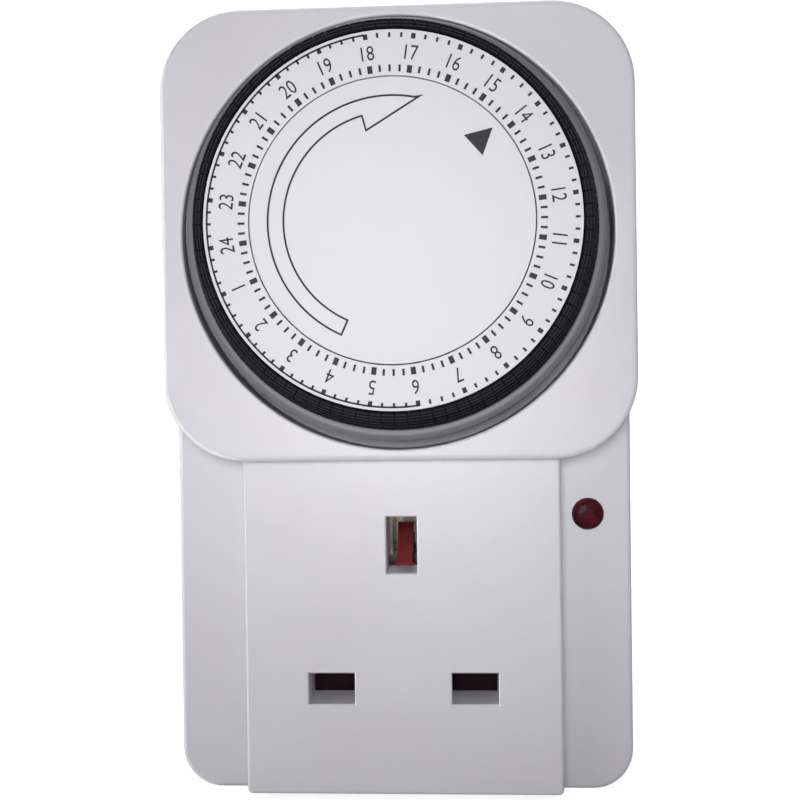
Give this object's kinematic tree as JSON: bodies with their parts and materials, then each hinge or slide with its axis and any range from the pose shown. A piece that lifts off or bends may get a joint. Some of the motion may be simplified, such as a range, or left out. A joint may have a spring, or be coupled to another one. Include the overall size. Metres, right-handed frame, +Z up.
{
  "type": "programmable timer",
  "caption": "Plug-through mechanical timer for a three-pin outlet, with a turning hour dial ringed by push-down segments, a shuttered outlet below it and a red indicator.",
  "frame": {"origin": "on the back face that lies against the wall outlet, midway between the line and neutral pins", "axes": "+X to the right seen from the front, +Y back into the wall along the plug pins, +Z up"},
  "size_m": [0.0738, 0.0742, 0.1216],
  "materials": {
    "housing_white": "satin",
    "chassis_cream": "satin",
    "dial_white": "satin",
    "spring_steel": "satin",
    "pin_brass": "satin",
    "sleeve_black": "satin",
    "contact_brass": "satin",
    "switch_black": "satin",
    "motor_steel": "satin",
    "coil_copper": "satin",
    "lens_red": "satin",
    "lamp_glass": "satin",
    "resistor_tan": "satin",
    "lead_brown": "satin",
    "lead_black": "satin",
    "screw_steel": "satin",
    "drum_grey": "satin",
    "shutter_red": "satin",
    "lever_cream": "satin",
    "button_red": "satin",
    "slider_red": "satin",
    "gear_cream": "satin",
    "segment_black": "satin"
  },
  "bodies": {
    "housing": {"rear_shell": "housing_white", "front_cover": "housing_white", "chassis_plate": "chassis_cream", "dial_spindle": "chassis_cream", "centre_disc": "dial_white", "clutch_washer": "spring_steel", "earth_pin": "pin_brass", "line_pin": "pin_brass", "neutral_pin": "pin_brass", "line_sleeve": "sleeve_black", "neutral_sleeve": "sleeve_black", "earth_contact": "contact_brass", "line_contact": "contact_brass", "neutral_contact": "contact_brass", "switch_case": "switch_black", "motor_case": "motor_steel", "motor_coil": "coil_copper", "gear_axles": "spring_steel", "neon_lens": "lens_red", "neon_lamp": "lamp_glass", "neon_resistor": "resistor_tan", "supply_lead": "lead_brown", "load_lead": "lead_black", "housing_screws": "screw_steel", "chassis_screws": "screw_steel", "shutter_spring": "spring_steel"},
    "dial": {"dial_drum": "drum_grey", "dial_face": "dial_white"},
    "second_gear": {"second_gear": "gear_cream"},
    "first_gear": {"first_gear": "gear_cream"},
    "motor_pinion": {"motor_pinion": "contact_brass"},
    "shutter": {"shutter": "shutter_red"},
    "lever": {"follower_lever": "lever_cream"},
    "switch_button": {"switch_button": "button_red"},
    "override_slider": {"override_slider": "slider_red"},
    "tripper_01": {"tripper_01": "segment_black"},
    "tripper_02": {"tripper_02": "segment_black"},
    "tripper_03": {"tripper_03": "segment_black"},
    "tripper_04": {"tripper_04": "segment_black"},
    "tripper_05": {"tripper_05": "segment_black"},
    "tripper_06": {"tripper_06": "segment_black"},
    "tripper_07": {"tripper_07": "segment_black"},
    "tripper_08": {"tripper_08": "segment_black"},
    "tripper_09": {"tripper_09": "segment_black"},
    "tripper_10": {"tripper_10": "segment_black"},
    "tripper_11": {"tripper_11": "segment_black"},
    "tripper_12": {"tripper_12": "segment_black"},
    "tripper_13": {"tripper_13": "segment_black"},
    "tripper_14": {"tripper_14": "segment_black"},
    "tripper_15": {"tripper_15": "segment_black"},
    "tripper_16": {"tripper_16": "segment_black"},
    "tripper_17": {"tripper_17": "segment_black"},
    "tripper_18": {"tripper_18": "segment_black"},
    "tripper_19": {"tripper_19": "segment_black"},
    "tripper_20": {"tripper_20": "segment_black"},
    "tripper_21": {"tripper_21": "segment_black"},
    "tripper_22": {"tripper_22": "segment_black"},
    "tripper_23": {"tripper_23": "segment_black"},
    "tripper_24": {"tripper_24": "segment_black"}
  },
  "joints": [
    {"name": "dial_turn", "type": "hinge", "parent": "housing", "child": "dial", "pos_m": [0, -0.04, 0.0698], "axis": [0, -1, 0], "continuous": true},
    {"name": "tripper_01_push", "type": "slide", "parent": "dial", "child": "tripper_01", "axis": [0, 1, 0], "range_m": [0, 0.0025]},
    {"name": "tripper_02_push", "type": "slide", "parent": "dial", "child": "tripper_02", "axis": [0, 1, 0], "range_m": [0, 0.0025]},
    {"name": "tripper_03_push", "type": "slide", "parent": "dial", "child": "tripper_03", "axis": [0, 1, 0], "range_m": [0, 0.0025]},
    {"name": "tripper_04_push", "type": "slide", "parent": "dial", "child": "tripper_04", "axis": [0, 1, 0], "range_m": [0, 0.0025]},
    {"name": "tripper_05_push", "type": "slide", "parent": "dial", "child": "tripper_05", "axis": [0, 1, 0], "range_m": [0, 0.0025]},
    {"name": "tripper_06_push", "type": "slide", "parent": "dial", "child": "tripper_06", "axis": [0, 1, 0], "range_m": [0, 0.0025]},
    {"name": "tripper_07_push", "type": "slide", "parent": "dial", "child": "tripper_07", "axis": [0, 1, 0], "range_m": [0, 0.0025]},
    {"name": "tripper_08_push", "type": "slide", "parent": "dial", "child": "tripper_08", "axis": [0, 1, 0], "range_m": [0, 0.0025]},
    {"name": "tripper_09_push", "type": "slide", "parent": "dial", "child": "tripper_09", "axis": [0, 1, 0], "range_m": [0, 0.0025]},
    {"name": "tripper_10_push", "type": "slide", "parent": "dial", "child": "tripper_10", "axis": [0, 1, 0], "range_m": [0, 0.0025]},
    {"name": "tripper_11_push", "type": "slide", "parent": "dial", "child": "tripper_11", "axis": [0, 1, 0], "range_m": [0, 0.0025]},
    {"name": "tripper_12_push", "type": "slide", "parent": "dial", "child": "tripper_12", "axis": [0, 1, 0], "range_m": [0, 0.0025]},
    {"name": "tripper_13_push", "type": "slide", "parent": "dial", "child": "tripper_13", "axis": [0, 1, 0], "range_m": [0, 0.0025]},
    {"name": "tripper_14_push", "type": "slide", "parent": "dial", "child": "tripper_14", "axis": [0, 1, 0], "range_m": [0, 0.0025]},
    {"name": "tripper_15_push", "type": "slide", "parent": "dial", "child": "tripper_15", "axis": [0, 1, 0], "range_m": [0, 0.0025]},
    {"name": "tripper_16_push", "type": "slide", "parent": "dial", "child": "tripper_16", "axis": [0, 1, 0], "range_m": [0, 0.0025]},
    {"name": "tripper_17_push", "type": "slide", "parent": "dial", "child": "tripper_17", "axis": [0, 1, 0], "range_m": [0, 0.0025]},
    {"name": "tripper_18_push", "type": "slide", "parent": "dial", "child": "tripper_18", "axis": [0, 1, 0], "range_m": [0, 0.0025]},
    {"name": "tripper_19_push", "type": "slide", "parent": "dial", "child": "tripper_19", "axis": [0, 1, 0], "range_m": [0, 0.0025]},
    {"name": "tripper_20_push", "type": "slide", "parent": "dial", "child": "tripper_20", "axis": [0, 1, 0], "range_m": [0, 0.0025]},
    {"name": "tripper_21_push", "type": "slide", "parent": "dial", "child": "tripper_21", "axis": [0, 1, 0], "range_m": [0, 0.0025]},
    {"name": "tripper_22_push", "type": "slide", "parent": "dial", "child": "tripper_22", "axis": [0, 1, 0], "range_m": [0, 0.0025]},
    {"name": "tripper_23_push", "type": "slide", "parent": "dial", "child": "tripper_23", "axis": [0, 1, 0], "range_m": [0, 0.0025]},
    {"name": "tripper_24_push", "type": "slide", "parent": "dial", "child": "tripper_24", "axis": [0, 1, 0], "range_m": [0, 0.0025]},
    {"name": "second_gear_turn", "type": "hinge", "parent": "housing", "child": "second_gear", "pos_m": [-0.00838, -0.025, 0.04678], "axis": [0, -1, 0], "continuous": true},
    {"name": "first_gear_turn", "type": "hinge", "parent": "housing", "child": "first_gear", "pos_m": [-0.01966, -0.025, 0.04267], "axis": [0, -1, 0], "continuous": true},
    {"name": "motor_pinion_turn", "type": "hinge", "parent": "housing", "child": "motor_pinion", "pos_m": [-0.01366, -0.025, 0.05307], "axis": [0, -1, 0], "continuous": true},
    {"name": "shutter_slide", "type": "slide", "parent": "housing", "child": "shutter", "axis": [0, 0, -1], "range_m": [0, 0.006], "stiffness_N_per_m": 60, "springref_m": -0.004, "deforming": ["shutter_spring"]},
    {"name": "lever_tilt", "type": "hinge", "parent": "housing", "child": "lever", "pos_m": [0.02917, -0.031, 0.08862], "axis": [0, 0, -1], "range_deg": [0, 6.5], "stiffness_Nm_per_rad": 0.02, "springref_deg": -8.59},
    {"name": "switch_press", "type": "slide", "parent": "housing", "child": "switch_button", "axis": [0, 1, 0], "range_m": [0, 0.00055]},
    {"name": "override_slide", "type": "slide", "parent": "housing", "child": "override_slider", "axis": [0, 0, 1], "range_m": [0, 0.005]}
  ],
  "couplings": [
    {"joint": "second_gear_turn", "follows": "dial_turn", "ratio": -6},
    {"joint": "first_gear_turn", "follows": "dial_turn", "ratio": 18},
    {"joint": "motor_pinion_turn", "follows": "dial_turn", "ratio": -54},
    {"joint": "lever_tilt", "follows": "switch_press", "rad_per_m": 206}
  ]
}
